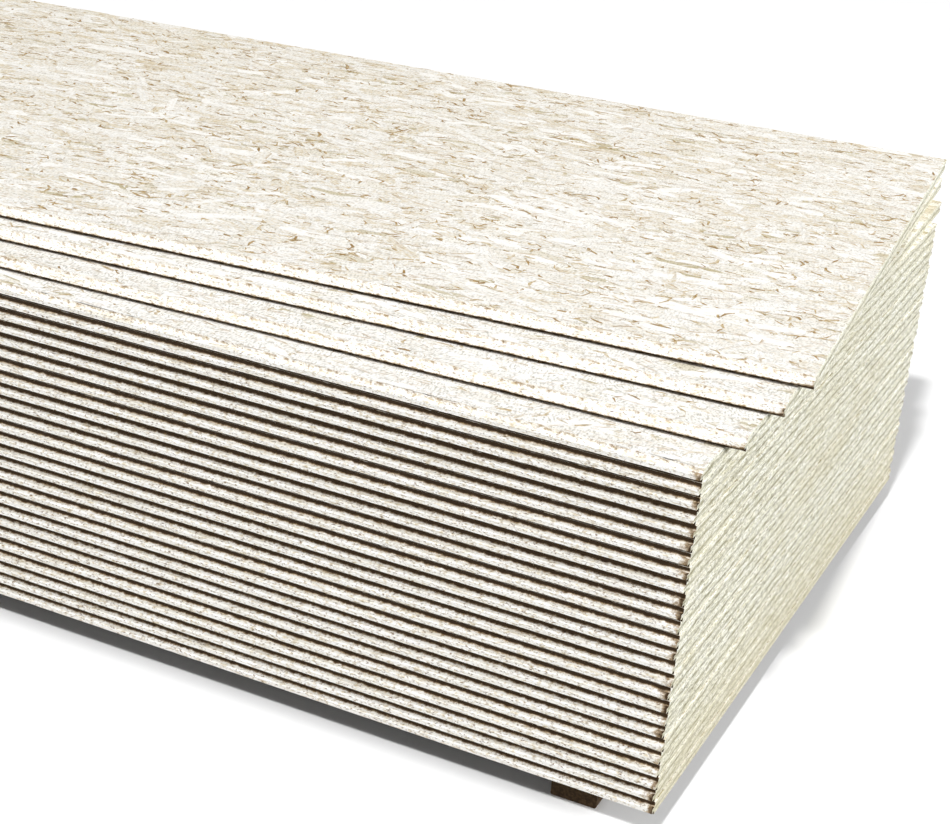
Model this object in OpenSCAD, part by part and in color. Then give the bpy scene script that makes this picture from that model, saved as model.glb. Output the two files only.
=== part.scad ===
// Stack of tongue-and-groove OSB panels on timber bearers.
// Millimetres, +Z up, X along the panels, tongues towards -Y and grooves towards +Y.
// The origin is the middle of the middle bearer's underside, below the centre of the square stack.

/* [Panels] */
// Length of a panel
panel_length = 2400; // [1500:10:3000]
// Width of a panel, from the tongue's tip to the back edge
panel_width = 1200; // [600:10:1300]
// Thickness of a panel
panel_thickness = 18; // [15:1:25]

/* [Tongue and groove] */
// Length of the tongue
tongue_length = 9; // [6:0.5:12]
// Thickness of the tongue
tongue_thickness = 6; // [4:0.5:7]
// Bevel on the two arrises of the tongue's tip
tongue_bevel = 0.8; // [0.2:0.1:1.5]
// Play between a tongue and each cheek of its groove
groove_play = 0.4; // [0.2:0.1:0.8]
// Depth of the groove past the tongue's tip
groove_relief = 0.8; // [0.4:0.1:2]

/* [Stack] */
// Number of panels that lie square above each other
square_count = 26; // [4:1:36]
// Most that a square panel lies out of line with the stack
stacking_error = 1; // [0:0.1:3]

/* [Fan of top panels] */
// Turn of each top panel about its front right corner in degrees, lowest panel first
fan_turn = [1.8, 3.65, 4.85]; // [0:0.05:8]
// Distance that each front right corner stands out past the stack's end
fan_overhang = [25, 43, 58]; // [0:1:150]
// Distance that each front right corner lies behind the stack's front
fan_setback = [76, 163, 228]; // [0:1:400]

/* [Bearers] */
// Number of bearers under the stack
bearer_count = 3; // [3:2:5]
// Width of a bearer
bearer_width = 63; // [40:1:100]
// Height of a bearer
bearer_height = 45; // [25:1:100]
// Distance from the stack's end to the side of the nearest bearer
bearer_end_gap = 85; // [0:5:300]
// Distance from the tongues' tips to a bearer's end, the same at the back
bearer_setback = 45; // [0:5:150]
// Rounding of a bearer's long edges
bearer_round = 3; // [1:0.5:8]

/* [Hidden] */
fan_count = len(fan_turn);
panel_count = square_count + fan_count;
half_length = panel_length / 2;
half_width = panel_width / 2;
tongue_low = (panel_thickness - tongue_thickness) / 2;
tongue_high = tongue_low + tongue_thickness;
groove_height = tongue_thickness + 2 * groove_play;
groove_depth = tongue_length + groove_relief;
bearer_length = panel_width - 2 * bearer_setback;
bearer_pitch = (panel_length - 2 * bearer_end_gap - bearer_width) / (bearer_count - 1);
// How far a cutting shape reaches past the face that it cuts
overshoot = 1;
// Steps, in degrees, of the two waves that put each square panel a little out of line
wander_step_x = 137;
wander_step_y = 71;
panel_colour = "#EBE6DB";
bearer_colour = "#6B5138";
$fn = 48;

// Node names, counted from the left for bearers and from the bottom for panels
function two_digits(i) = i < 10 ? str("0", i) : str(i);
function panel_name(i) = str("panel_", two_digits(i));
function bearer_name(i) = str("bearer_", i);

// Section across a panel: the tongue's tip at x = 0, the groove in the far edge
module panel_section() {
    difference() {
        polygon([
            [tongue_length, 0],
            [panel_width, 0],
            [panel_width, panel_thickness],
            [tongue_length, panel_thickness],
            [tongue_length, tongue_high],
            [tongue_bevel, tongue_high],
            [0, tongue_high - tongue_bevel],
            [0, tongue_low + tongue_bevel],
            [tongue_bevel, tongue_low],
            [tongue_length, tongue_low]
        ]);
        translate([panel_width - groove_depth, tongue_low - groove_play])
            square([groove_depth + overshoot, groove_height]);
    }
}

// One panel, running along -X and +Y from its front right corner
module panel_board() {
    translate([-panel_length, 0, 0])
        rotate([90, 0, 90])
            linear_extrude(height = panel_length)
                panel_section();
}

// Puts its children at the stack's front right corner, at the height where panel i lies
module at_panel_seat(i) {
    seat_height = bearer_height + (i - 1) * panel_thickness;
    translate([half_length, -half_width, seat_height])
        children();
}

// Panel i of the square stack, a little out of line as panels are when laid by hand
module square_panel(i) {
    shift_x = stacking_error * sin(i * wander_step_x);
    shift_y = stacking_error * sin(i * wander_step_y);
    at_panel_seat(i)
        translate([shift_x, shift_y, 0])
            panel_board();
}

// Panel i of the fan on top, turned about its front right corner
module fan_panel(i) {
    step = i - square_count - 1;
    at_panel_seat(i)
        translate([fan_overhang[step], fan_setback[step], 0])
            rotate([0, 0, fan_turn[step]])
                panel_board();
}

module panel(i) {
    color(panel_colour)
        if (i > square_count)
            fan_panel(i);
        else
            square_panel(i);
}

// Section of a bearer: a sawn batten with its long edges rounded off
module bearer_section() {
    inner_width = bearer_width - 2 * bearer_round;
    inner_height = bearer_height - 2 * bearer_round;
    translate([0, bearer_round])
        square([bearer_width, inner_height]);
    translate([bearer_round, 0])
        square([inner_width, bearer_height]);
    for (x = [0, inner_width], z = [0, inner_height])
        translate([bearer_round + x, bearer_round + z])
            circle(r = bearer_round);
}

// Bearer i, running from front to back
module bearer(i) {
    left_side = -half_length + bearer_end_gap + (i - 1) * bearer_pitch;
    color(bearer_colour)
        translate([left_side, half_width - bearer_setback, 0])
            rotate([90, 0, 0])
                linear_extrude(height = bearer_length)
                    bearer_section();
}

for (i = [1:bearer_count])
    bearer(i);
for (i = [1:panel_count])
    panel(i);
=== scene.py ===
# %% [markdown]
# This lesson dresses a stack of OSB panels that lies on three timber bearers. OSB is oriented strand board:
# flat wood strands that are sprayed with glue and pressed hot into a board.
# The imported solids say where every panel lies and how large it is. They are loaded first and are never
# moved, and the finished pieces are worked out from their boxes, so nothing has to be fitted by eye.

# %% Load the solids
import math

import bpy
import numpy as np
from mathutils import Matrix, Vector


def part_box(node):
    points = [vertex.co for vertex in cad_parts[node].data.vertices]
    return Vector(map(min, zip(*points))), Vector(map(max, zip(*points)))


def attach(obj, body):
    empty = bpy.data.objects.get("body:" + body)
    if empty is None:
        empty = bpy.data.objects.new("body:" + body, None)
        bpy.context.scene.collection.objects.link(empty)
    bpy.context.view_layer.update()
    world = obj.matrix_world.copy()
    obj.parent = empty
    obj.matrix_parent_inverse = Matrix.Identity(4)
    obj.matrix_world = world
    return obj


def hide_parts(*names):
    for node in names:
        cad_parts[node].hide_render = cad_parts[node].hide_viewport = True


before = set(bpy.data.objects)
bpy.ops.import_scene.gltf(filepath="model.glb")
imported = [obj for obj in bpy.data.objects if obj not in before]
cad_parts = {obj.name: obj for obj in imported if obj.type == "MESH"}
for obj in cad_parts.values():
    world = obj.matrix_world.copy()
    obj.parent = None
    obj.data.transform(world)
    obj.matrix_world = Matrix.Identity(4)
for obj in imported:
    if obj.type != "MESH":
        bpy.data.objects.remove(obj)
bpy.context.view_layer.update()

panel_names = sorted(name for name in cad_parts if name.startswith("panel"))
bearer_names = sorted(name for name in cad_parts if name.startswith("bearer"))
print("solids:", len(panel_names), "panels and", len(bearer_names), "bearers")

# %% [markdown]
# Every panel is the same board. Most lie square, and the top three are turned a little, so their boxes are
# larger than the board itself. A board of length L and width W, turned by an angle a, fills a box that is
# L cos a + W sin a long, and that gives the angle back. A board is then described by its front right
# corner and its turn, and its own coordinates run from that corner: -X along it, +Y across it, +Z up.

# %% Find each board's corner and turn
MM = 0.001
# A turn below this, in radians, is only rounding in the boxes
LEAST_TURN = 0.001


def box_mm(node):
    """A solid's lowest and highest corner, in millimetres."""
    low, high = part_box(node)
    return np.array(low) / MM, np.array(high) / MM


first_low, first_high = box_mm(panel_names[0])
LENGTH, WIDTH, THICK = first_high - first_low


def seat_of(node):
    """A board's front right lower corner and its turn, from the box length L cos a + W sin a."""
    low, high = box_mm(node)
    share = min(1.0, (high[0] - low[0]) / math.hypot(LENGTH, WIDTH))
    turn = math.atan2(WIDTH, LENGTH) - math.acos(share)
    corner = np.array([high[0], low[1] + LENGTH * math.sin(turn), low[2]])
    return corner, turn


def place(points, seat):
    """Board coordinates to the stack's: turned about the corner, then moved to it."""
    corner, turn = seat
    x, y, z = np.moveaxis(points, -1, 0)
    cosine, sine = math.cos(turn), math.sin(turn)
    return np.stack([x * cosine - y * sine, x * sine + y * cosine, z], axis=-1) + corner


seats = {name: seat_of(name) for name in panel_names}
print("board", np.round([LENGTH, WIDTH, THICK], 2), "mm")
print("turned boards:", [(n, round(math.degrees(s[1]), 2)) for n, s in seats.items() if s[1] > LEAST_TURN])

# %% [markdown]
# All new pieces go into Blender by one function. It takes the points as one array and the faces as a few
# arrays of point numbers, and writes them with foreach_set, which is far quicker than adding faces one by
# one. Values that the materials need at each point, such as a place on the board, go along as attributes.

# %% Put arrays into a mesh
def put_mesh(name, points, groups, materials, kinds, fields):
    """A piece from points in millimetres, face groups of equal corner count, and one material per face."""
    corners = np.concatenate([group.ravel() for group in groups])
    sizes = np.concatenate([np.full(len(group), group.shape[1]) for group in groups])
    starts = np.concatenate([[0], np.cumsum(sizes)[:-1]])
    mesh = bpy.data.meshes.new(name)
    mesh.vertices.add(len(points))
    mesh.vertices.foreach_set("co", np.ravel(points * MM).astype(np.float32))
    mesh.loops.add(len(corners))
    mesh.loops.foreach_set("vertex_index", corners.astype(np.int32))
    mesh.polygons.add(len(sizes))
    mesh.polygons.foreach_set("loop_start", starts.astype(np.int32))
    for material in materials:
        mesh.materials.append(material)
    mesh.polygons.foreach_set("material_index", np.asarray(kinds, dtype=np.int32))
    mesh.update(calc_edges=True)
    mesh.shade_flat()
    for field, values in fields.items():
        vector = values.ndim == 2
        made = mesh.attributes.new(field, "FLOAT_VECTOR" if vector else "FLOAT", "POINT")
        made.data.foreach_set("vector" if vector else "value", np.ravel(values).astype(np.float32))
    piece = bpy.data.objects.new(name, mesh)
    bpy.context.scene.collection.objects.link(piece)
    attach(piece, "root")
    return piece


def wander(draw, along, spacing):
    """A random line between -1 and 1 along a board: random heights a spacing apart, joined straight."""
    knots = np.arange(along.min() - spacing, along.max() + 2 * spacing, spacing)
    return np.interp(along, knots, draw.uniform(-1, 1, len(knots)))


# %% [markdown]
# Every material is a small net of nodes. One function adds a node: its keyword settings are the node's
# properties, and its dictionary gives each input socket a value or the output that is linked to it.
# Colours are written as sRGB hex values, as a paint chart gives them, and one function makes them linear.

# %% Helpers for materials
WOOD_IOR = 1.5
# Raw wood is loose fibre ends, so only part of its surface shines; 0.5 would be a closed surface
WOOD_SHINE = 0.2
# Numbers of a Mix node's colour sockets: the two that go in and the one that comes out
MIX_A, MIX_B, MIXED = 6, 7, 2
# A fleck fades in over this much of its noise
FLECK_FADE = 0.2


def linear(colour):
    """An sRGB hex colour as the linear values that Blender's sockets take."""
    parts = [int(colour[i:i + 2], 16) / 255 for i in (1, 3, 5)]
    return [p / 12.92 if p <= 0.04045 else ((p + 0.055) / 1.055) ** 2.4 for p in parts] + [1.0]


def add(tree, kind, sockets=None, stops=None, **settings):
    """Add a node with its settings, its sockets' values or links, and a colour ramp's stops."""
    made = tree.nodes.new(kind)
    for name, value in settings.items():
        setattr(made, name, value)
    for name, value in (sockets or {}).items():
        if isinstance(value, bpy.types.NodeSocket):
            tree.links.new(value, made.inputs[name])
        else:
            made.inputs[name].default_value = value
    if stops:
        elements = made.color_ramp.elements
        while len(elements) < len(stops):
            elements.new(1.0)
        for element, (position, colour) in zip(elements, stops):
            element.position = position
            element.color = linear(colour)
    return made


def start_material(name):
    """An empty node material."""
    material = bpy.data.materials.new(name)
    material.use_nodes = True
    material.node_tree.nodes.clear()
    return material, material.node_tree


def close_material(tree, colour, roughness, height, depth_mm):
    """Hand the colour to a wood shader, and raise its surface by the height, depth_mm at most."""
    bump = add(tree, "ShaderNodeBump", {"Height": height, "Distance": depth_mm * MM})
    shader = add(tree, "ShaderNodeBsdfPrincipled", {
        "Base Color": colour, "Roughness": roughness, "IOR": WOOD_IOR, "Specular IOR Level": WOOD_SHINE,
        "Normal": bump.outputs["Normal"]})
    add(tree, "ShaderNodeOutputMaterial", {"Surface": shader.outputs["BSDF"]})


def per_mm(*sizes):
    """The mapping scale at which one pattern unit is as large as these sizes in millimetres."""
    return tuple(1 / (size * MM) for size in sizes)


def grained(tree, tone, noise, share):
    """A tone moved up and down by a noise: the tone plus the share times the noise, less half the share."""
    raised = add(tree, "ShaderNodeMath", {0: noise, 1: share, 2: tone}, operation="MULTIPLY_ADD")
    return add(tree, "ShaderNodeMath", {0: raised.outputs[0], 1: share / 2}, operation="SUBTRACT").outputs[0]


def lay_over(tree, colour, value, begins, full, most, upper):
    """A colour with another laid over it: none where the value is at begins, and most of it from full on."""
    amount = add(tree, "ShaderNodeMapRange", {
        "Value": value, "From Min": begins, "From Max": full, "To Min": 0.0, "To Max": most})
    return add(tree, "ShaderNodeMix", {
        0: amount.outputs[0], MIX_A: colour, MIX_B: linear(upper)}, data_type="RGBA").outputs[MIXED]


def flecks(tree, colour, where, cell, least, most, brown):
    """Spots over a colour: they show where a noise with cells of this size runs higher than least."""
    spaced = add(tree, "ShaderNodeMapping", {"Vector": where, "Scale": per_mm(*cell)})
    specks = add(tree, "ShaderNodeTexNoise", {"Vector": spaced.outputs[0], "Scale": 1.0, "Detail": 3.0})
    return lay_over(tree, colour, specks.outputs["Fac"], least, least + FLECK_FADE, most, brown)


# %% [markdown]
# The pressed face of OSB is a mat of pale softwood strands, here nearly white, with tan edges where one
# strand lies on another. The strands that the eye can follow are made as geometry further down. This
# material is the mat below them, and it also serves the undersides: two layers of long Voronoi cells,
# each cell one strand with its own tone, with fine grain along them.

# %% Material: pressed OSB face
FACE_TONES = [(0.0, "#B9AC89"), (0.1, "#D0C7AE"), (0.3, "#E2DCCD"), (0.6, "#EDE9DF"), (1.0, "#F7F5EE")]
# Pattern cells are in millimetres; a very long side means that the pattern doesn't change that way
STRAND_CELL = (85, 15, 1000)
LAYER_TURNS = (-9, 14)
GRAIN_CELL = (40, 1.5, 1000)
GRAIN_SHARE = 0.5
# Flecks are given by their cell, the least noise that shows, their strength and their colour
FACE_FLECK = ((3, 6, 1000), 0.5, 0.8, "#8E8262")


def pressed_face():
    """Two layers of strand-shaped cells on the board's own coordinates, the upper one covering half."""
    material, tree = start_material("pressed_osb_face")
    board = add(tree, "ShaderNodeAttribute", attribute_name="board").outputs["Vector"]
    layers = []
    for turn in LAYER_TURNS:
        mapped = add(tree, "ShaderNodeMapping", {
            "Vector": board, "Rotation": (0, 0, math.radians(turn)), "Scale": per_mm(*STRAND_CELL)})
        cells = add(tree, "ShaderNodeTexVoronoi", {"Vector": mapped.outputs[0], "Scale": 1.0},
                    voronoi_dimensions="2D")
        layers.append(add(tree, "ShaderNodeSeparateColor", {"Color": cells.outputs["Color"]}))
    covers = add(tree, "ShaderNodeMath", {0: layers[1].outputs["Green"], 1: 0.5}, operation="GREATER_THAN")
    tone = add(tree, "ShaderNodeMix", {
        "Factor": covers.outputs[0], "A": layers[0].outputs["Red"], "B": layers[1].outputs["Red"]})
    stretched = add(tree, "ShaderNodeMapping", {"Vector": board, "Scale": per_mm(*GRAIN_CELL)})
    grain = add(tree, "ShaderNodeTexNoise", {"Vector": stretched.outputs[0], "Scale": 1.0, "Detail": 3.0})
    level = grained(tree, tone.outputs[0], grain.outputs["Fac"], GRAIN_SHARE)
    colour = add(tree, "ShaderNodeValToRGB", {"Fac": level}, stops=FACE_TONES)
    flecked = flecks(tree, colour.outputs["Color"], board, *FACE_FLECK)
    close_material(tree, flecked, roughness=0.8, height=level, depth_mm=0.15)
    return material


face_material = pressed_face()
print("made", face_material.name)

# %% [markdown]
# The tongue and the groove are milled, so the long edges show the strands cut through: faint long layers,
# small tan and brown flecks where strands did not meet, and torn brown fibres in the corners that the
# cutter left. The recesses between the boards are darkened too, as painted shade. One value at each point
# says how deep in such a corner a point lies, and so how much torn brown and painted shade it gets, and
# fine noise breaks its rim into fibres.

# %% Material: milled OSB edge
MILLED_TONES = [(0.25, "#DFD9CB"), (0.45, "#F5F3EC"), (0.65, "#FEFDFA")]
# Real strands are under 1 mm thick, too fine to show here, so the layers are drawn thicker
LAYER_CELL = (55, 55, 1.3)
MILLED_FLECKS = [((7, 7, 3), 0.51, 0.6, "#B29A5C"), ((4, 4, 1.8), 0.55, 1.0, "#66471C")]
FIBRE_CELL = (7, 16, 7)
FIBRE_SHARE = 1.3
# Fibres plus corner value: where a brown begins, where it is full, its strength and its colour. The first is
# torn fibres with some painted shade, the second is painted shade deep in the recesses
TORN_BROWN_AND_SHADE = [(0.9, 1.15, 0.8, "#90703A"), (1.1, 1.4, 1.0, "#3A2A17")]


def milled_edge():
    """Thin layers along the board, small brown flecks, and torn brown fibres and painted shade where the
    corner value is high.
    """
    material, tree = start_material("milled_osb_edge")
    board = add(tree, "ShaderNodeAttribute", attribute_name="board").outputs["Vector"]
    stain = add(tree, "ShaderNodeAttribute", attribute_name="stain").outputs["Fac"]
    thin = add(tree, "ShaderNodeMapping", {"Vector": board, "Scale": per_mm(*LAYER_CELL)})
    layers = add(tree, "ShaderNodeTexNoise", {"Vector": thin.outputs[0], "Scale": 1.0, "Detail": 4.0})
    wood = add(tree, "ShaderNodeValToRGB", {"Fac": layers.outputs["Fac"]}, stops=MILLED_TONES)
    colour = wood.outputs["Color"]
    for fleck in MILLED_FLECKS:
        colour = flecks(tree, colour, board, *fleck)
    combed = add(tree, "ShaderNodeMapping", {"Vector": board, "Scale": per_mm(*FIBRE_CELL)})
    fibres = add(tree, "ShaderNodeTexNoise", {
        "Vector": combed.outputs[0], "Scale": 1.0, "Detail": 4.0, "Roughness": 0.65})
    rim = add(tree, "ShaderNodeMath", {0: fibres.outputs["Fac"], 1: FIBRE_SHARE, 2: stain},
              operation="MULTIPLY_ADD")
    # The browns laid over here are torn fibres and painted shade in the recesses between boards
    for brown in TORN_BROWN_AND_SHADE:
        colour = lay_over(tree, colour, rim.outputs[0], *brown)
    close_material(tree, colour, roughness=0.65, height=fibres.outputs["Fac"], depth_mm=0.3)
    return material


edge_material = milled_edge()
print("made", edge_material.name)

# %% [markdown]
# The ends are sawn square and show how OSB is laid: the two face layers are dense and pale, and the core,
# whose strands lie across, is coarser and greyer. So each board's end has a wavy grey line along its
# middle, and the joints between boards stay pale. The board's own height at each point places that line.
# The lowest boards have taken up damp from the ground, and faint patches of the same tint lie higher up.

# %% Material: sawn OSB end
SAWN_TONES = [(0.33, "#CDC9AC"), (0.45, "#E9E7D4"), (0.56, "#F8F7EC"), (0.68, "#FFFFFA")]
# These layers too are drawn thicker than real strands, so that they show
SAWN_LAYER = (30, 26, 1.6)
SAWN_FLECKS = [((10, 9, 2.6), 0.46, 0.6, "#8C8870"), ((10, 5, 2), 0.54, 0.9, "#6A6244")]
CORE_COLOUR = "#908C6E"
CORE_WAVE = (1000, 38, 1000)
CORE_SWAY_MM = 7.0
CORE_HALF_MM = 4.5
# The core line comes and goes: from and to which noise, and its strength at both
CORE_BREAK = (1000, 22, 4)
CORE_SHOWN = (0.35, 0.6, 0.2, 1.0)
TINT_COLOUR = "#C6BC9A"
# Patches of tint: from and to which noise, and their strength
TINT_PATCH = (1000, 420, 110)
TINT_SHOWN = (0.45, 0.7, 0.3)
DAMP_STRENGTH = 0.6
DAMP_TO_MM = 200


def core_line(tree, board):
    """How much of the grey core shows: one on a wavy line at half the board's height, fading both ways."""
    height = add(tree, "ShaderNodeSeparateXYZ", {"Vector": board})
    waved = add(tree, "ShaderNodeMapping", {"Vector": board, "Scale": per_mm(*CORE_WAVE)})
    wave = add(tree, "ShaderNodeTexNoise", {"Vector": waved.outputs[0], "Scale": 1.0, "Detail": 3.0})
    swayed = add(tree, "ShaderNodeMath", {
        0: wave.outputs["Fac"], 1: CORE_SWAY_MM * MM, 2: height.outputs["Z"]}, operation="MULTIPLY_ADD")
    from_core = add(tree, "ShaderNodeMath", {
        0: swayed.outputs[0], 1: (THICK + CORE_SWAY_MM) / 2 * MM}, operation="SUBTRACT")
    apart = add(tree, "ShaderNodeMath", {0: from_core.outputs[0]}, operation="ABSOLUTE")
    core = add(tree, "ShaderNodeMapRange", {
        "Value": apart.outputs[0], "From Min": 0.0, "From Max": CORE_HALF_MM * MM,
        "To Min": 1.0, "To Max": 0.0}, interpolation_type="SMOOTHSTEP")
    patched = add(tree, "ShaderNodeMapping", {"Vector": board, "Scale": per_mm(*CORE_BREAK)})
    patches = add(tree, "ShaderNodeTexNoise", {"Vector": patched.outputs[0], "Scale": 1.0, "Detail": 3.0})
    begins, full, least, most = CORE_SHOWN
    shown = add(tree, "ShaderNodeMapRange", {
        "Value": patches.outputs["Fac"], "From Min": begins, "From Max": full,
        "To Min": least, "To Max": most})
    grey = add(tree, "ShaderNodeMath", {0: core.outputs[0], 1: shown.outputs[0]}, operation="MULTIPLY")
    return grey.outputs[0]


def damp_and_tint(tree):
    """How much of the tint shows: most near the floor, and in broad patches higher up."""
    where = add(tree, "ShaderNodeTexCoord").outputs["Object"]
    above = add(tree, "ShaderNodeSeparateXYZ", {"Vector": where})
    damp = add(tree, "ShaderNodeMapRange", {
        "Value": above.outputs["Z"], "From Min": 0.0, "From Max": DAMP_TO_MM * MM,
        "To Min": DAMP_STRENGTH, "To Max": 0.0})
    spread = add(tree, "ShaderNodeMapping", {"Vector": where, "Scale": per_mm(*TINT_PATCH)})
    patches = add(tree, "ShaderNodeTexNoise", {"Vector": spread.outputs[0], "Scale": 1.0, "Detail": 2.0})
    begins, full, most = TINT_SHOWN
    tint = add(tree, "ShaderNodeMapRange", {
        "Value": patches.outputs["Fac"], "From Min": begins, "From Max": full,
        "To Min": 0.0, "To Max": most})
    stronger = add(tree, "ShaderNodeMath", {0: damp.outputs[0], 1: tint.outputs[0]}, operation="MAXIMUM")
    return stronger.outputs[0]


def sawn_end():
    """Thin pressed layers, a wavy broken line along the core, flecks, and damp on the lowest boards."""
    material, tree = start_material("sawn_osb_end")
    board = add(tree, "ShaderNodeAttribute", attribute_name="board").outputs["Vector"]
    thin = add(tree, "ShaderNodeMapping", {"Vector": board, "Scale": per_mm(*SAWN_LAYER)})
    layers = add(tree, "ShaderNodeTexNoise", {"Vector": thin.outputs[0], "Scale": 1.0, "Detail": 5.0})
    wood = add(tree, "ShaderNodeValToRGB", {"Fac": layers.outputs["Fac"]}, stops=SAWN_TONES)
    cored = add(tree, "ShaderNodeMix", {
        0: core_line(tree, board), MIX_A: wood.outputs["Color"], MIX_B: linear(CORE_COLOUR)},
        data_type="RGBA")
    flecked = cored.outputs[MIXED]
    for fleck in SAWN_FLECKS:
        flecked = flecks(tree, flecked, board, *fleck)
    colour = add(tree, "ShaderNodeMix", {
        0: damp_and_tint(tree), MIX_A: flecked, MIX_B: linear(TINT_COLOUR)}, data_type="RGBA")
    close_material(tree, colour.outputs[MIXED], roughness=0.7, height=layers.outputs["Fac"], depth_mm=0.25)
    return material


end_material = sawn_end()
print("made", end_material.name)

# %% [markdown]
# A board is one section carried along its length. The front edge carries the tongue, the back edge the
# groove. A milled edge of OSB is never clean: chips break out of every arris. So the section's points are
# not fixed numbers but lines along the board, in which random wear pushes the arrises back into the wood.
# Modelling it this way gives ragged shadows that a bump in the material could not give.

# %% Wear, and a section along a board
FACE, EDGE, END = 0, 1, 2
# The spacing in millimetres of the random lines that make the chips and the general wear
CHIP_SPACING = 11
WEAR_SPACING = 17
# Chips break out where their random line runs higher than this
CHIP_FROM = 0.45
CHIP_POWER = 1.5
WEAR_SWAY = 0.5


def wear(draw, along, least, chip):
    """How far an arris is worn back: a little everywhere, and chips where a quick random line runs high."""
    run = np.clip(wander(draw, along, CHIP_SPACING) - CHIP_FROM, 0, 1) / (1 - CHIP_FROM)
    return least * (1 + WEAR_SWAY * wander(draw, along, WEAR_SPACING)) + chip * run ** CHIP_POWER


def section_grid(section, along):
    """The section's points across and up at each place along the board, and the material of each strip."""
    across = np.stack([np.broadcast_to(y, along.shape) for y, z in section], axis=1)
    height = np.stack([np.broadcast_to(z, along.shape) for y, z in section], axis=1)
    back = np.broadcast_to(-along[:, None], across.shape)
    strips = [FACE] + [EDGE] * (len(section) - 3) + [FACE]
    return np.stack([back, across, height], axis=-1), strips


# %% [markdown]
# The tongue is a third of the thickness. Its corners hold torn brown fibres. Where another board lies
# right above or below, the recesses are also darkened as painted shade. A roofed tongue has another right
# above it, and a piled one belongs to the square stack. The fanned boards at the top are neither: theirs lie
# open, above a flat face, with painted shade only under the tongue.

# %% The tongued front edge
TONGUE = 9.0
TONGUE_LOW = THICK / 3
TONGUE_HIGH = 2 * THICK / 3
FACE_MARGIN = 8.0
# The saw frays the ends of the tongue, points 5 to 11 of the section, over about this length
FRAY_MM = 9.0
FRAYED = range(5, 12)
FRAY_RANGE = (0.2, 0.9)
# How far the tip sways and the milled faces are sunk, and over which spacing, in millimetres
TIP_SWAY, TIP_SPACING = 0.1, 40
SUNK, SUNK_SPACING = 0.3, 13
# The tongues in the pile have swollen with damp, so their tips are this much thicker than milled
SWELL = 0.4
# Torn brown in front of the shoulder of an open tongue, and painted shade below the tongue of a fanned board
OPEN_STAIN = 0.31
FAN_HEEL_SHADE = 0.5
FAN_HOLLOW_SHADE = 0.75


def front_edge(draw, along, roofed, piled):
    """The tongued edge as a grid: at each place along the board, 17 points from the face to the underside.
    Returns the points, the torn brown and painted shade at each, and the material of each strip between two
    points."""
    lip = wear(draw, along, least=0.35, chip=2.6)
    crest = wear(draw, along, least=0.7, chip=1.6)
    heel = wear(draw, along, least=0.08, chip=0.6)
    foot = wear(draw, along, least=0.35, chip=2.4)
    tip = TIP_SWAY + TIP_SWAY * wander(draw, along, TIP_SPACING)
    sunk = SUNK * (1 + wander(draw, along, SUNK_SPACING))
    swollen = TONGUE_LOW - SWELL if piled else TONGUE_LOW
    section = [
        (TONGUE + FACE_MARGIN, THICK),
        (TONGUE + lip, THICK),
        (TONGUE, THICK - 0.8 * lip),
        (TONGUE + sunk, (THICK + TONGUE_HIGH) / 2),
        (TONGUE, TONGUE_HIGH),
        (0.7 * TONGUE, TONGUE_HIGH - 0.4 * sunk),
        (0.4 * TONGUE, TONGUE_HIGH),
        (tip + crest, TONGUE_HIGH),
        (tip, TONGUE_HIGH - crest),
        (tip + 0.3 * sunk, THICK / 2),
        (tip, swollen + heel),
        (tip + heel, swollen),
        (TONGUE, TONGUE_LOW),
        (TONGUE + sunk, TONGUE_LOW / 2),
        (TONGUE, 0.8 * foot),
        (TONGUE + foot, 0),
        (TONGUE + FACE_MARGIN, 0),
    ]
    points, strips = section_grid(section, along)
    # Painted shade: the corner above the tongue is darkened where a board lies right above it, the hollow
    # under the tongue fully in the pile and less on a fanned board, and a fanned board's heel as well
    above = 1.0 if roofed else OPEN_STAIN
    under = 0.0 if piled else FAN_HEEL_SHADE
    hollow = 1.0 if piled else FAN_HOLLOW_SHADE
    stain = [0, 0, above, above, 0.45 * above, 0.1 * above, 0, 0, 0, 0, under, 0.1 + under,
             hollow, hollow, hollow, 0.5, 0]
    from_end = np.minimum(along, LENGTH - along)
    fray = draw.uniform(*FRAY_RANGE) * np.exp(-from_end / FRAY_MM)
    frayed = np.outer(fray, np.isin(np.arange(len(section)), FRAYED))
    return points, np.tile(stain, (len(along), 1)) + frayed, strips


# %% [markdown]
# The back edge is the same idea with the groove's section. It runs from the underside up to the face, so
# that the front and back sections together go once round the board.

# %% The grooved back edge
GROOVE_PLAY = 0.4
GROOVE_RELIEF = 0.8
GROOVE_DEPTH = TONGUE + GROOVE_RELIEF


def back_edge(draw, along):
    """The grooved edge as a grid: at each place along the board, 12 points from the underside to the face."""
    low = TONGUE_LOW - GROOVE_PLAY
    high = TONGUE_HIGH + GROOVE_PLAY
    foot = wear(draw, along, least=0.4, chip=2.0)
    lower_cheek = wear(draw, along, least=0.3, chip=1.2)
    upper_cheek = wear(draw, along, least=0.3, chip=1.2)
    lip = wear(draw, along, least=0.4, chip=2.0)
    section = [
        (WIDTH - FACE_MARGIN, 0),
        (WIDTH - foot, 0),
        (WIDTH, 0.8 * foot),
        (WIDTH, low - lower_cheek),
        (WIDTH - lower_cheek, low),
        (WIDTH - GROOVE_DEPTH, low),
        (WIDTH - GROOVE_DEPTH, high),
        (WIDTH - upper_cheek, high),
        (WIDTH, high + upper_cheek),
        (WIDTH, THICK - 0.8 * lip),
        (WIDTH - lip, THICK),
        (WIDTH - FACE_MARGIN, THICK),
    ]
    points, strips = section_grid(section, along)
    # Painted shade: the groove's floor is darkened deep in the recess
    stain = [0, 0.1, 0.2, 0.1, 0.2, 1, 1, 0.2, 0.1, 0.2, 0.1, 0]
    return points, np.tile(stain, (len(along), 1)), strips


# %% [markdown]
# The two edges become strips of four-cornered faces. The face and the underside are each one large polygon
# between them, and two more close the ends, so the board is a closed shell. The first and last station
# lie a little inside the others, which gives the soft sawn arris round each end.

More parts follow.
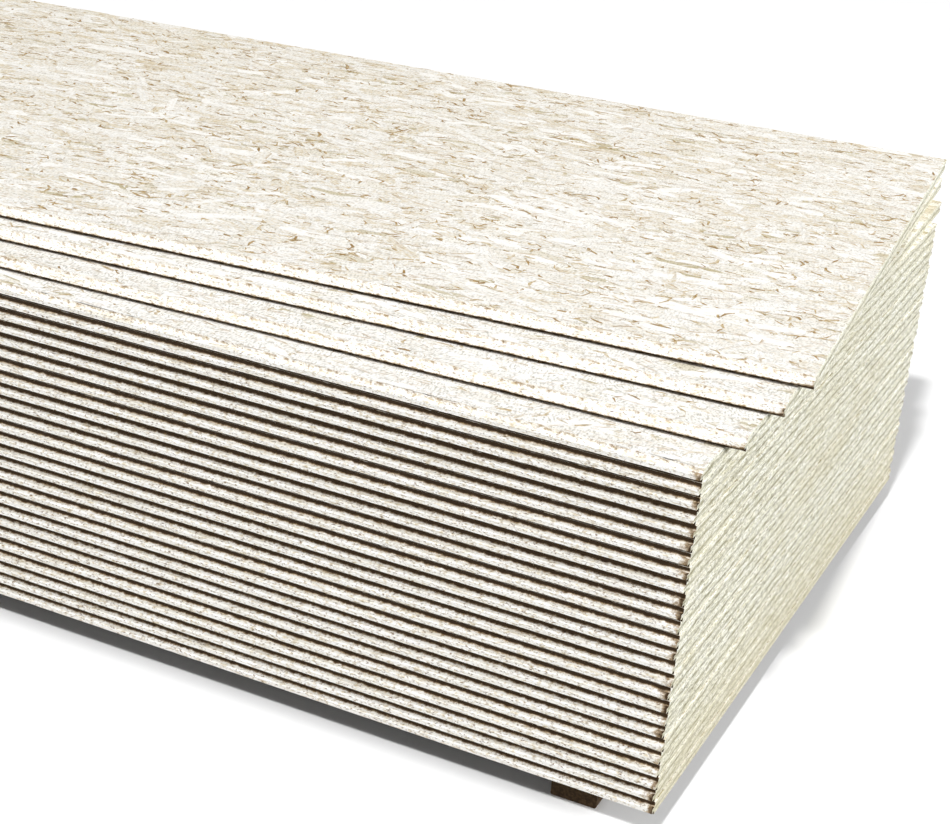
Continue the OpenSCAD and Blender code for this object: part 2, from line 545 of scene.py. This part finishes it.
# %% Close a board and make all of them
FRONT_STEP = 6.6
BACK_STEP = 16.0
BEVEL = 0.6
SEED = 29
# Each board reads the patterns at another place, up to this far off in metres
PATTERN_SHIFT = 20


def stations(step):
    """Places along a board: both ends, a bevel's width inside each, and even steps between."""
    count = round((LENGTH - 2 * BEVEL) / step) + 1
    return np.concatenate([[0], np.linspace(BEVEL, LENGTH - BEVEL, count), [LENGTH]])


def soften_ends(grid):
    """Draw the first and last ring of a grid inside the board's outline by the bevel."""
    for ring in (grid[0], grid[-1]):
        ring[:, 1] = np.clip(ring[:, 1], BEVEL, WIDTH - BEVEL)
        ring[:, 2] = np.clip(ring[:, 2], BEVEL, THICK - BEVEL)


def strip_faces(ids):
    """The four-cornered faces between neighbouring rings of a grid of point numbers."""
    corners = [ids[:-1, :-1], ids[1:, :-1], ids[1:, 1:], ids[:-1, 1:]]
    return np.stack(corners, axis=-1).reshape(-1, 4)


def end_bevels(front, back):
    """Four narrow faces between the ends and the two large faces."""
    return np.array([
        [front[1, 0], front[0, 0], back[0, -1], back[1, -1]],
        [front[0, -1], front[1, -1], back[1, 0], back[0, 0]],
        [front[-1, 0], front[-2, 0], back[-2, -1], back[-1, -1]],
        [front[-2, -1], front[-1, -1], back[-1, 0], back[-2, 0]],
    ])


def make_board(node, draw, roofed, piled):
    """One finished board in place of its solid."""
    front, front_torn_and_shade, front_kinds = front_edge(draw, stations(FRONT_STEP), roofed, piled)
    back, back_torn_and_shade, back_kinds = back_edge(draw, stations(BACK_STEP))
    soften_ends(front)
    soften_ends(back)
    points = np.concatenate([front.reshape(-1, 3), back.reshape(-1, 3)])
    front_ids = np.arange(front_torn_and_shade.size).reshape(front_torn_and_shade.shape)
    back_ids = front_torn_and_shade.size + np.arange(back_torn_and_shade.size).reshape(back_torn_and_shade.shape)
    face = np.concatenate([front_ids[-2:0:-1, 0], back_ids[1:-1, -1]])
    underside = np.concatenate([front_ids[1:-1, -1], back_ids[-2:0:-1, 0]])
    right_end = np.concatenate([front_ids[0], back_ids[0]])
    left_end = np.concatenate([front_ids[-1], back_ids[-1]])[::-1]
    groups = [strip_faces(front_ids), strip_faces(back_ids), end_bevels(front_ids, back_ids),
              face[None], underside[None], right_end[None], left_end[None]]
    kinds = np.concatenate([
        np.tile(front_kinds, len(front) - 1), np.tile(back_kinds, len(back) - 1),
        [END] * 4, [FACE, FACE, END, END]])
    shift = np.array([draw.uniform(0, PATTERN_SHIFT), draw.uniform(0, PATTERN_SHIFT), 0])
    fields = {"board": points * MM + shift,
              "stain": np.concatenate([front_torn_and_shade.ravel(), back_torn_and_shade.ravel()])}
    piece = put_mesh("osb_" + node, place(points, seats[node]), groups,
                     [face_material, edge_material, end_material], kinds, fields)
    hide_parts(node)
    return piece


top_of_square = max(i for i, name in enumerate(panel_names) if abs(seats[name][1]) < LEAST_TURN)
boards = []
for number, node in enumerate(panel_names):
    draw = np.random.default_rng([SEED, number])
    boards.append(make_board(node, draw, roofed=number < top_of_square, piled=number <= top_of_square))
print("boards:", len(boards), "with", len(boards[0].data.polygons), "faces each")

# %% [markdown]
# The strands on the open faces are thin flakes of wood, 24 to 120 mm long, laid mostly along the board.
# Fresh softwood is nearly white, with a faint grain; a tan rim along one edge of a strand is painted shade,
# for the step where it lies on its neighbour.
# Each strand carries its own tone and its own place in the pattern as attributes.

# %% Material: wood strand
STRAND_TONES = [(0.0, "#947645"), (0.08, "#B69B68"), (0.25, "#D6C7A8"), (0.5, "#EAE5DA"),
                (0.75, "#F5F3EE"), (1.0, "#FCFBF8")]
# Cells along and across a strand in millimetres. Growth rings are often too fine to show here, so the
# grain is drawn coarser than they are
STRAND_GRAIN = (10, 4, 1e6)
STRAND_GRAIN_SHARE = 1.2
STRAND_FLECK = (3, 8.5, 1e6)
STRAND_FLECK_FROM = 0.47
STRAND_FLECK_COLOUR = "#8C8470"
# A tan rim along one edge of a strand is painted shade: its width in millimetres, its pieces and its colour
EDGE_SHADE_MM = 5.0
EDGE_SHADE_BREAK = (20, 9, 1e6)
# The painted edge shade shows in pieces: from and to which noise
EDGE_SHADE_SHOWN = (0.45, 0.6)
EDGE_SHADE_COLOUR = "#A9854A"


def broken_edge_shade(tree, strand, tones):
    """How much of the tan rim of painted shade shows: most at one side of the strand, in pieces, and more on
    some strands.
    """
    sides = add(tree, "ShaderNodeSeparateXYZ", {"Vector": strand})
    inward = add(tree, "ShaderNodeMath", {0: 1.0, 1: sides.outputs["Z"]}, operation="SUBTRACT")
    from_rim = add(tree, "ShaderNodeMath", {0: inward.outputs[0], 1: tones.outputs["Z"]},
                   operation="MULTIPLY")
    rim = add(tree, "ShaderNodeMapRange", {
        "Value": from_rim.outputs[0], "From Min": 0.0, "From Max": EDGE_SHADE_MM * MM,
        "To Min": 1.0, "To Max": 0.0})
    broken = add(tree, "ShaderNodeMapping", {"Vector": strand, "Scale": per_mm(*EDGE_SHADE_BREAK)})
    breaks = add(tree, "ShaderNodeTexNoise", {"Vector": broken.outputs[0], "Scale": 1.0, "Detail": 2.0})
    shown = add(tree, "ShaderNodeMapRange", {
        "Value": breaks.outputs["Fac"], "From Min": EDGE_SHADE_SHOWN[0], "From Max": EDGE_SHADE_SHOWN[1],
        "To Min": 0.0, "To Max": 1.0})
    pieces = add(tree, "ShaderNodeMath", {0: rim.outputs[0], 1: shown.outputs[0]}, operation="MULTIPLY")
    return add(tree, "ShaderNodeMath", {0: pieces.outputs[0], 1: tones.outputs["Y"]},
               operation="MULTIPLY").outputs[0]


def wood_strand():
    """A tone for each strand, grain and flecks along it, and a tan rim of painted shade along one edge."""
    material, tree = start_material("softwood_strand")
    strand = add(tree, "ShaderNodeAttribute", attribute_name="strand").outputs["Vector"]
    tone = add(tree, "ShaderNodeAttribute", attribute_name="tone").outputs["Vector"]
    tones = add(tree, "ShaderNodeSeparateXYZ", {"Vector": tone})
    stretched = add(tree, "ShaderNodeMapping", {"Vector": strand, "Scale": per_mm(*STRAND_GRAIN)})
    grain = add(tree, "ShaderNodeTexNoise", {"Vector": stretched.outputs[0], "Scale": 1.0, "Detail": 3.0})
    level = grained(tree, tones.outputs["X"], grain.outputs["Fac"], STRAND_GRAIN_SHARE)
    wood = add(tree, "ShaderNodeValToRGB", {"Fac": level}, stops=STRAND_TONES)
    # Painted shade: the tan rim along one edge of the strand
    edge_shaded = add(tree, "ShaderNodeMix", {
        0: broken_edge_shade(tree, strand, tones), MIX_A: wood.outputs["Color"], MIX_B: linear(EDGE_SHADE_COLOUR)},
        data_type="RGBA")
    spotted = add(tree, "ShaderNodeAttribute", attribute_name="fleck").outputs["Fac"]
    flecked = flecks(tree, edge_shaded.outputs[MIXED], strand, STRAND_FLECK, STRAND_FLECK_FROM, spotted,
                     STRAND_FLECK_COLOUR)
    close_material(tree, flecked, roughness=0.8, height=grain.outputs["Fac"], depth_mm=0.12)
    return material


strand_material = wood_strand()
print("made", strand_material.name)

# %% [markdown]
# Each strand is a flat prism with slanted, narrowed ends, a few tenths of a millimetre proud. Strands could
# be painted, but flakes that really overlap give edges that stay true from close by. All flakes of one
# kind on a face become one mesh, because thousands of objects would be slow to draw.

# %% Shape a strand
STRAND_ROOT = -0.6
STRAND_RISE = 0.4
# The ends' share of the full width, their slant as a share of it, and the usual tilt in mm along and across
END_WIDTH = (0.1, 0.9)
END_SLANT = 0.4
TILT_ALONG = 0.12
TILT_ACROSS = 0.05


def strand_shapes(draw, places, bend, centres, lengths, widths, turns):
    """Flakes as an array of strand, place and corner: a left and a right corner above, one root below.
    Along a strand the half width is full and narrows at both ends, and its middle follows a shallow bow."""
    count = len(centres)
    full = np.ones((count, len(places)))
    full[:, [0, -1]] = draw.uniform(*END_WIDTH, (count, 2))
    half = widths[:, None] / 2 * full
    bow = draw.normal(0, 1, count) * bend * lengths
    middle = bow[:, None] * (1 - (2 * places - 1) ** 2)
    middle[:, [0, -1]] += draw.uniform(-END_SLANT, END_SLANT, (count, 2)) * widths[:, None]
    along = lengths[:, None] * (places - 0.5)
    rise = STRAND_RISE * (np.arange(count) + 1) / count
    pitch = draw.normal(0, TILT_ALONG, count)[:, None] * (places - 0.5)
    roll = draw.normal(0, TILT_ACROSS, count)[:, None]
    across = np.stack([middle + half, middle - half, middle], axis=-1)
    height = np.stack([rise[:, None] + pitch + roll, rise[:, None] + pitch - roll,
                       np.full(half.shape, STRAND_ROOT)], axis=-1)
    cosine = np.cos(turns)[:, None, None]
    sine = np.sin(turns)[:, None, None]
    x = centres[:, 0, None, None] + along[..., None] * cosine - across * sine
    y = centres[:, 1, None, None] + along[..., None] * sine + across * cosine
    return np.stack([x, y, height], axis=-1), along[..., None] + 0 * across, across


def strand_faces(count, place_count):
    """Faces of each flake: three four-cornered sides between places and a triangle at each end."""
    first = np.arange(count)[:, None, None] * 3 * place_count
    left, right, root = 0, 1, 2
    last = 3 * place_count - 3
    quads = []
    for here in range(0, last, 3):
        there = here + 3
        quads.append([here + left, here + right, there + right, there + left])
        quads.append([here + root, here + left, there + left, there + root])
        quads.append([here + right, here + root, there + root, there + right])
    caps = [[left, root, right], [last + left, last + right, last + root]]
    return (first + np.array(quads)).reshape(-1, 4), (first + np.array(caps)).reshape(-1, 3)


# %% [markdown]
# Two sizes of flake are strewn. Broad strands make the mat, and narrow slivers, broken off in the mill, lie
# among them as short tan or white strokes. The order in which they are drawn is also their height, so a
# later one lies on an earlier one. The far left of the top face has weathered a little browner.

# %% Kinds of flake
# How the flakes of a face look: palest and least pale strand, strength of the flecks, browning to the left
TOP_LOOK = {"palest": 0.9, "least": 0.42, "fleck": 0.45, "browned": 0.2}
TREAD_LOOK = {"palest": 1.0, "least": 0.6, "fleck": 0.6, "browned": 0.0}
# Of the slivers, the share that is tan and the share that is tan or white; the rest are dark
TAN_UP_TO = 0.6
WHITE_UP_TO = 0.94
DARK_TONE = -0.1
# How far tan strokes start below the least pale strand, and how much tan and white strokes vary
TAN_BELOW, TAN_SPREAD, WHITE_SPREAD = 0.42, 0.36, 0.2


def broad_tones(draw, count, look):
    """Mostly pale strands."""
    return look["palest"] - (look["palest"] - look["least"]) * draw.beta(1.5, 2.0, count)


def sliver_tones(draw, count, look):
    """Tan strokes, white strokes and a few dark ones."""
    pick = draw.uniform(0, 1, count)
    tan = look["least"] - TAN_BELOW + TAN_SPREAD * draw.uniform(0, 1, count)
    white = look["palest"] - WHITE_SPREAD * draw.uniform(0, 1, count)
    return np.where(pick < TAN_UP_TO, tan, np.where(pick < WHITE_UP_TO, white, DARK_TONE))


# Turns are the usual and the wide spread in degrees and the share of wide ones; sizes are the least, the
# most frequent and the largest in millimetres; places are the stations along a flake
BROAD = {
    "places": np.array([0.0, 0.14, 0.5, 0.86, 1.0]), "bend": 0.05, "turns": (14, 40, 0.2),
    "tones": broad_tones, "length": (24, 55, 120), "width": (7, 16, 30)}
SLIVER = {
    "places": np.array([0.0, 0.5, 1.0]), "bend": 0.2, "turns": (24, 75, 0.5),
    "tones": sliver_tones, "length": (6, 14, 36), "width": (2.2, 3.6, 7)}

# %% [markdown]
# All flakes come from seeded random numbers, so every run strews the same face. Their corners are kept within
# the board's edges, and each flake gets a side for its painted edge shade and a place of its own in the
# pattern.

# %% Strew strands and slivers
# Strands this close to the palest were cut cleanly and keep only this share of the flecks
SMOOTH_WITHIN = 0.07
SMOOTH_FLECK = 0.3
# The weakest painted edge shade, how far apart in metres flakes may lie in the pattern, and millimetres kept
# behind the lip
LEAST_EDGE_SHADE = 0.1
STRAND_SHIFT = 5
LIP_CLEAR = 0.5


def strew(name, node, draw, count, depth, kind, look):
    """Flakes of one kind strewn on a board's face, from the tongue to a depth behind it."""
    place_count = len(kind["places"])
    centres = np.stack([-draw.uniform(0, LENGTH, count), draw.uniform(0, depth, count)], axis=1)
    lengths = draw.triangular(*kind["length"], count)
    widths = draw.triangular(*kind["width"], count)
    usual, wide, wide_share = kind["turns"]
    spread = np.where(draw.uniform(0, 1, count) < wide_share, wide, usual)
    turns = np.radians(draw.normal(0, 1, count) * spread)
    points, along, across = strand_shapes(
        draw, kind["places"], kind["bend"], centres, lengths, widths, turns)
    points[..., 0] = np.clip(points[..., 0], BEVEL - LENGTH, -BEVEL)
    points[..., 1] = np.clip(points[..., 1], TONGUE + LIP_CLEAR, WIDTH - BEVEL)
    points[..., 2] += THICK
    quads, caps = strand_faces(count, place_count)
    offset = draw.uniform(0, STRAND_SHIFT, (count, 2))[:, :, None, None]
    # Each strand's painted edge shade lies on one of its two sides
    shade_side = draw.choice([-1.0, 1.0], count)[:, None, None]
    side = shade_side * np.array([1.0, -1.0, 0.0]) + 0 * across
    strand = np.stack([along * MM + offset[:, 0], across * MM + offset[:, 1], side], axis=-1)
    paleness = kind["tones"](draw, count, look)
    smooth = paleness > look["palest"] - SMOOTH_WITHIN
    fleck = np.where(smooth, SMOOTH_FLECK * look["fleck"], look["fleck"])
    browning = look["browned"] * (centres[:, 1] / WIDTH - centres[:, 0] / LENGTH) / 2
    tone = np.stack([paleness - browning, draw.uniform(LEAST_EDGE_SHADE, 1, count), widths / 2 * MM], axis=1)
    corner_count = 3 * place_count
    fields = {"strand": strand.reshape(-1, 3), "tone": np.repeat(tone, corner_count, axis=0),
              "fleck": np.repeat(fleck, corner_count)}
    return put_mesh(name + node, place(points.reshape(-1, 3), seats[node]), [quads, caps],
                    [strand_material], np.zeros(len(quads) + len(caps)), fields)


# The top face is strewn all over, and the boards below it only on the strip that shows, in millimetres
TREAD = 120
BROAD_COUNT, SLIVER_COUNT = 5600, 11000
TREAD_BROAD_COUNT, TREAD_SLIVER_COUNT = BROAD_COUNT // 7, SLIVER_COUNT // 16
STREW_SEED = 100
for step, node in enumerate(panel_names[top_of_square:]):
    draw = np.random.default_rng([SEED, STREW_SEED + step])
    if node == panel_names[-1]:
        broad, slivers, depth, look_of_face = BROAD_COUNT, SLIVER_COUNT, WIDTH, TOP_LOOK
    else:
        broad, slivers, depth, look_of_face = TREAD_BROAD_COUNT, TREAD_SLIVER_COUNT, TREAD, TREAD_LOOK
    strew("strands_", node, draw, broad, depth, BROAD, look_of_face)
    strew("slivers_", node, draw, slivers, depth, SLIVER, look_of_face)
print("strands:", BROAD_COUNT, "and slivers:", SLIVER_COUNT, "on the top face")

# %% [markdown]
# Torn fibres stand out of the milled corners. Each is a thin spike with three corners in the wood and one
# free tip, the smallest closed shape there is, so many of them cost little. Three rows run along each
# board: on the tongue in front of the shoulder, on the upper lip and under the tongue.

# %% Torn fibres along the tongues
FIBRE_TONES = [(0.0, "#6E5436"), (0.5, "#A88A5E"), (1.0, "#E6DAC0")]
FIBRE_GRAIN_MM = 2.5
FIBRE_GRAIN_SHARE = 0.4
# Each row: fibres per board, root across and up, reach of the tip across and up, length range, widest
FIBRE_ROWS = [
    (330, TONGUE - 0.2, TONGUE_HIGH - 0.2, -1.0, 0.12, (1.5, 5.5), 1.6),
    (170, TONGUE + 0.7, THICK - 0.5, -1.0, -0.25, (0.8, 2.6), 1.8),
    (70, 1.1, TONGUE_LOW + 0.4, -0.35, -0.9, (0.6, 1.8), 1.5),
]
# Boards whose tongue lies open have been handled and keep only this share of their fibres
OPEN_SHARE = 0.3
# Fibres keep this far from a board's ends, and their roots sit this deep, uneven by the play
END_CLEAR = 3
ROOT_SINK = 0.5
ROOT_PLAY = 0.2
NARROWEST = 0.5
LEAN = 0.3


def torn_fibre():
    """Brown to pale wood, a tone for each fibre, with the noise of broken grain."""
    material, tree = start_material("torn_wood_fibre")
    tone = add(tree, "ShaderNodeAttribute", attribute_name="tone").outputs["Fac"]
    where = add(tree, "ShaderNodeTexCoord").outputs["Object"]
    noise = add(tree, "ShaderNodeTexNoise", {
        "Vector": where, "Scale": 1 / (FIBRE_GRAIN_MM * MM), "Detail": 2.0})
    level = grained(tree, tone, noise.outputs["Fac"], FIBRE_GRAIN_SHARE)
    colour = add(tree, "ShaderNodeValToRGB", {"Fac": level}, stops=FIBRE_TONES)
    close_material(tree, colour.outputs["Color"], roughness=0.75, height=noise.outputs["Fac"], depth_mm=0.1)
    return material


def fibre_row(draw, row, share):
    """Spikes along a board: two root corners a width apart, a third below them, and the tip at full reach."""
    full_count, root_y, root_z, reach_y, reach_z, (short, long), widest = row
    count = round(full_count * share)
    x = -draw.uniform(END_CLEAR, LENGTH - END_CLEAR, count)
    length = draw.uniform(short, long, count)
    width = draw.uniform(NARROWEST, widest, count)
    lean = draw.normal(0, LEAN, count) * length
    roots_y = root_y + draw.uniform(-ROOT_PLAY, ROOT_PLAY, count)
    left = np.stack([x - width / 2, roots_y, np.full(count, root_z)], axis=1)
    right = np.stack([x + width / 2, roots_y, np.full(count, root_z)], axis=1)
    below = np.stack([x, roots_y + ROOT_SINK, np.full(count, root_z - ROOT_SINK)], axis=1)
    tip = np.stack([x + lean, roots_y + reach_y * length, root_z + reach_z * length], axis=1)
    return np.stack([left, right, below, tip], axis=1).reshape(-1, 3)


FIBRE_SEED = 200
FIBRE_TONE_SEED = 300
SPIKE = np.array([[0, 1, 3], [1, 2, 3], [2, 0, 3], [0, 2, 1]])
fibre_rows = []
for number, node in enumerate(panel_names):
    draw = np.random.default_rng([SEED, FIBRE_SEED, number])
    share = 1 if number < top_of_square else OPEN_SHARE
    for row in FIBRE_ROWS:
        fibre_rows.append(place(fibre_row(draw, row, share), seats[node]))
fibre_points = np.concatenate(fibre_rows)
fibre_count = len(fibre_points) // 4
fibre_faces = (np.arange(fibre_count)[:, None, None] * 4 + SPIKE).reshape(-1, 3)
fibre_tone = np.repeat(np.random.default_rng([SEED, FIBRE_TONE_SEED]).beta(1.3, 1.6, fibre_count), 4)
put_mesh("torn_fibres", fibre_points, [fibre_faces], [torn_fibre()], np.zeros(len(fibre_faces)),
         {"tone": fibre_tone})
print("torn fibres:", fibre_count)

# %% [markdown]
# The bearers are sawn softwood battens, browned by weather and damp, and their tones are darkened further as
# painted shade for the gap under the stack. Their solids already have the right shape, so they only get a
# material: grain lines along the batten, and the fine ribs of the saw across it.

# %% Material: sawn softwood, darkened as painted shade
# Darker than the wood's own brown, as painted shade for the gap under the stack
TIMBER_AND_SHADE_TONES = [(0.25, "#33261A"), (0.5, "#4A3926"), (0.75, "#604C34")]
TIMBER_GRAIN = (3.5, 160, 3.5)
SAW_RIBS = (60, 4, 60)


def sawn_timber():
    """Long grain along Y, broken by noise, with saw ribs across it."""
    material, tree = start_material("weathered_sawn_softwood")
    where = add(tree, "ShaderNodeTexCoord").outputs["Object"]
    stretched = add(tree, "ShaderNodeMapping", {"Vector": where, "Scale": per_mm(*TIMBER_GRAIN)})
    grain = add(tree, "ShaderNodeTexNoise", {"Vector": stretched.outputs[0], "Scale": 1.0, "Detail": 5.0})
    colour = add(tree, "ShaderNodeValToRGB", {"Fac": grain.outputs["Fac"]}, stops=TIMBER_AND_SHADE_TONES)
    ribbed = add(tree, "ShaderNodeMapping", {"Vector": where, "Scale": per_mm(*SAW_RIBS)})
    ribs = add(tree, "ShaderNodeTexNoise", {"Vector": ribbed.outputs[0], "Scale": 1.0, "Detail": 3.0})
    relief = add(tree, "ShaderNodeMath", {0: ribs.outputs["Fac"], 1: grain.outputs["Fac"]}, operation="ADD")
    close_material(tree, colour.outputs["Color"], roughness=0.8, height=relief.outputs[0], depth_mm=0.5)
    return material


timber = sawn_timber()
for node in bearer_names:
    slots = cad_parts[node].data.materials
    slots.clear()
    slots.append(timber)
print("bearers in", timber.name)

# %% [markdown]
# The stage is a pale floor, an even sky, a soft sun from the front and four softboxes: one lights the right
# end, and three weaker ones, all low, fill the front, the left end and the back. Low lamps light upright
# faces and hardly touch the top. The floor is white for the camera but darker for the light that it throws
# back, so the recesses stay dark. Away from the stack it is an even white, as a studio sweep would be.

# %% Floor, sky, sun and softboxes
FLOOR_REACH = 30.0
FLOOR_BOUNCE = "#4A4A4A"
WHITE = "#FFFFFF"
# The floor turns from a lit surface to an even white between these distances from the stack, in metres
EVEN_FROM = 2.5
EVEN_AT = 6.0
SKY_LIGHT = 0.12
SUN_STRENGTH = 2.28
SUN_AZIMUTH = math.radians(3)
SUN_ELEVATION = math.radians(52)
SUN_ANGLE = math.radians(4)
# Each softbox: its place and its side in metres, and its watts
SOFTBOXES = [
    (Vector((14.0, -2.8, 5.7)), 3.8, 1940),
    (Vector((6.0, -24.0, 3.2)), 10.0, 1600),
    (Vector((-20.0, -4.4, 4.4)), 14.0, 1600),
    (Vector((9.0, 21.0, 3.8)), 12.0, 1680),
]


def seen_directly(tree):
    """One where the camera, a mirror or a glass looks at a surface, and zero for light bounced off it."""
    path = add(tree, "ShaderNodeLightPath")
    seen = add(tree, "ShaderNodeMath", {
        0: path.outputs["Is Camera Ray"], 1: path.outputs["Is Glossy Ray"]}, operation="MAXIMUM")
    direct = add(tree, "ShaderNodeMath", {
        0: seen.outputs[0], 1: path.outputs["Is Transmission Ray"]}, operation="MAXIMUM")
    return direct.outputs[0]


def stage_floor():
    """A plain square floor, white to the eye and grey to bounced light; far off it is evenly white."""
    mesh = bpy.data.meshes.new("floor")
    reach = FLOOR_REACH
    mesh.from_pydata([(-reach, -reach, 0), (reach, -reach, 0), (reach, reach, 0), (-reach, reach, 0)],
                     [], [(0, 1, 2, 3)])
    material, tree = start_material("white_floor")
    seen = seen_directly(tree)
    colour = add(tree, "ShaderNodeMix", {
        0: seen, MIX_A: linear(FLOOR_BOUNCE), MIX_B: linear(WHITE)}, data_type="RGBA")
    lit = add(tree, "ShaderNodeBsdfDiffuse", {"Color": colour.outputs[MIXED]})
    even = add(tree, "ShaderNodeEmission", {"Color": linear(WHITE), "Strength": 1.0})
    where = add(tree, "ShaderNodeTexCoord").outputs["Object"]
    away = add(tree, "ShaderNodeVectorMath", {0: where}, operation="LENGTH")
    far = add(tree, "ShaderNodeMapRange", {
        "Value": away.outputs["Value"], "From Min": EVEN_FROM, "From Max": EVEN_AT,
        "To Min": 0.0, "To Max": 1.0})
    far_seen = add(tree, "ShaderNodeMath", {0: far.outputs[0], 1: seen}, operation="MULTIPLY")
    shown = add(tree, "ShaderNodeMixShader", {
        0: far_seen.outputs[0], 1: lit.outputs[0], 2: even.outputs[0]})
    add(tree, "ShaderNodeOutputMaterial", {"Surface": shown.outputs[0]})
    mesh.materials.append(material)
    floor = bpy.data.objects.new("floor", mesh)
    bpy.context.scene.collection.objects.link(floor)


def sky():
    """White to the camera, and an even soft light on the object."""
    world = bpy.data.worlds.new("studio")
    world.use_nodes = True
    tree = world.node_tree
    tree.nodes.clear()
    lights = add(tree, "ShaderNodeBackground", {"Strength": SKY_LIGHT, "Color": linear(WHITE)})
    white = add(tree, "ShaderNodeBackground", {"Strength": 1.0, "Color": linear(WHITE)})
    mixed = add(tree, "ShaderNodeMixShader", {
        0: seen_directly(tree), 1: lights.outputs[0], 2: white.outputs[0]})
    add(tree, "ShaderNodeOutputWorld", {"Surface": mixed.outputs[0]})
    bpy.context.scene.world = world


def sun():
    """A soft sun; it shines along the line from its place in the sky to the stack."""
    lamp = bpy.data.lights.new("sun", "SUN")
    lamp.energy = SUN_STRENGTH
    lamp.angle = SUN_ANGLE
    holder = bpy.data.objects.new("sun", lamp)
    towards = Vector((math.sin(SUN_AZIMUTH) * math.cos(SUN_ELEVATION),
                      -math.cos(SUN_AZIMUTH) * math.cos(SUN_ELEVATION), math.sin(SUN_ELEVATION)))
    holder.rotation_euler = towards.to_track_quat("Z", "Y").to_euler()
    bpy.context.scene.collection.objects.link(holder)


def softbox(place_of_lamp, side, watts):
    """A large square lamp that looks at the middle of the stack."""
    lamp = bpy.data.lights.new("softbox", "AREA")
    lamp.energy = watts
    lamp.size = side
    holder = bpy.data.objects.new("softbox", lamp)
    holder.location = place_of_lamp
    holder.rotation_euler = place_of_lamp.to_track_quat("Z", "Y").to_euler()
    bpy.context.scene.collection.objects.link(holder)


stage_floor()
sky()
sun()
for place_of_lamp, side, watts in SOFTBOXES:
    softbox(place_of_lamp, side, watts)
bpy.context.scene.view_settings.view_transform = "Standard"
print("stage: floor, sky, sun and", len(SOFTBOXES), "softboxes")

# %% [markdown]
# The camera stands where the photograph was taken: its place is given from the stack's front right corner
# at the floor, and its three angles turn it about the vertical, down, and about its own axis. They were
# found by fitting the lines of the panels, with the image taken to be 950 by 824 pixels.

# %% Camera
FOCAL_PIXELS = 1917.15
IMAGE_WIDTH = 950
SENSOR = 36.0
CAMERA_FROM_CORNER = np.array([537.6, -1920.9, 1389.1])
CAMERA_TURN, CAMERA_DOWN, CAMERA_ROLL = (math.radians(angle) for angle in (23.161, 22.773, 5.533))


def look():
    """The camera's right, up and backward axes from its turn, downward angle and roll."""
    forward = np.array([-math.sin(CAMERA_TURN) * math.cos(CAMERA_DOWN),
                        math.cos(CAMERA_TURN) * math.cos(CAMERA_DOWN), -math.sin(CAMERA_DOWN)])
    level = np.array([math.cos(CAMERA_TURN), math.sin(CAMERA_TURN), 0])
    raised = np.cross(level, forward)
    right = math.cos(CAMERA_ROLL) * level + math.sin(CAMERA_ROLL) * raised
    up = -math.sin(CAMERA_ROLL) * level + math.cos(CAMERA_ROLL) * raised
    return np.stack([right, up, -forward], axis=1)


lens = bpy.data.cameras.new("camera")
lens.sensor_fit = "HORIZONTAL"
lens.sensor_width = SENSOR
lens.lens = FOCAL_PIXELS * SENSOR / IMAGE_WIDTH
camera = bpy.data.objects.new("camera", lens)
stack_corner = np.array([LENGTH / 2, -WIDTH / 2, 0])
stand = Vector((stack_corner + CAMERA_FROM_CORNER) * MM)
camera.matrix_world = Matrix.Translation(stand) @ Matrix(look()).to_4x4()
bpy.context.scene.collection.objects.link(camera)
bpy.context.scene.camera = camera
print("camera lens", round(lens.lens, 2), "mm")
